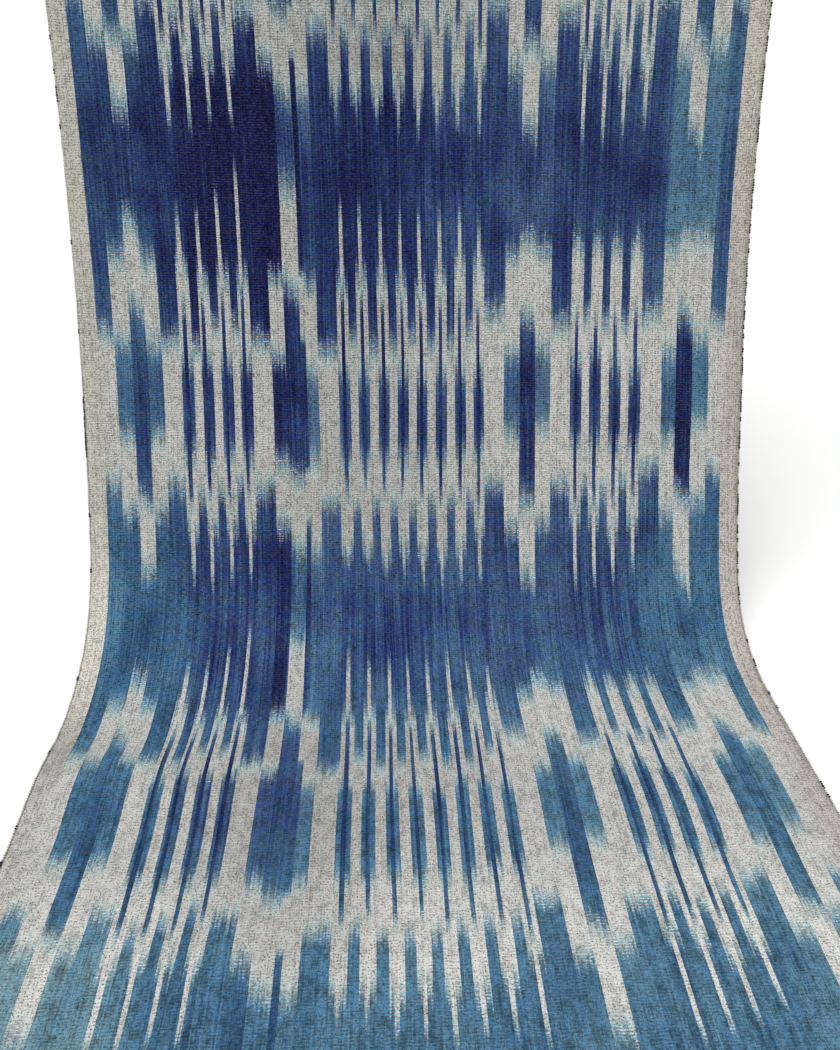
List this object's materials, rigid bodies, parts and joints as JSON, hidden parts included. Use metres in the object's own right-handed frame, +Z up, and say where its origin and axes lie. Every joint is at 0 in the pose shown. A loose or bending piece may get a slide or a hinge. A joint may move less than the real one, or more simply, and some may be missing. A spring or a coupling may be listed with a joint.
{
  "type": "hanging warp ikat cloth",
  "caption": "Length of handwoven indigo and undyed warp ikat cotton that hangs from its top edge and sweeps forward onto a surface.",
  "frame": {"origin": "middle of the cloth's top edge, on its back", "axes": "+X across the cloth, -Y out of its patterned face where it hangs, +Z up"},
  "size_m": [0.4, 0.5581, 0.5902],
  "materials": {
    "ikat_cotton": "plain weave cotton, warp resist dyed in indigo bands on an undyed ground, matt"
  },
  "bodies": {
    "root": {"ikat_cloth": "ikat_cotton"}
  },
  "joints": []
}
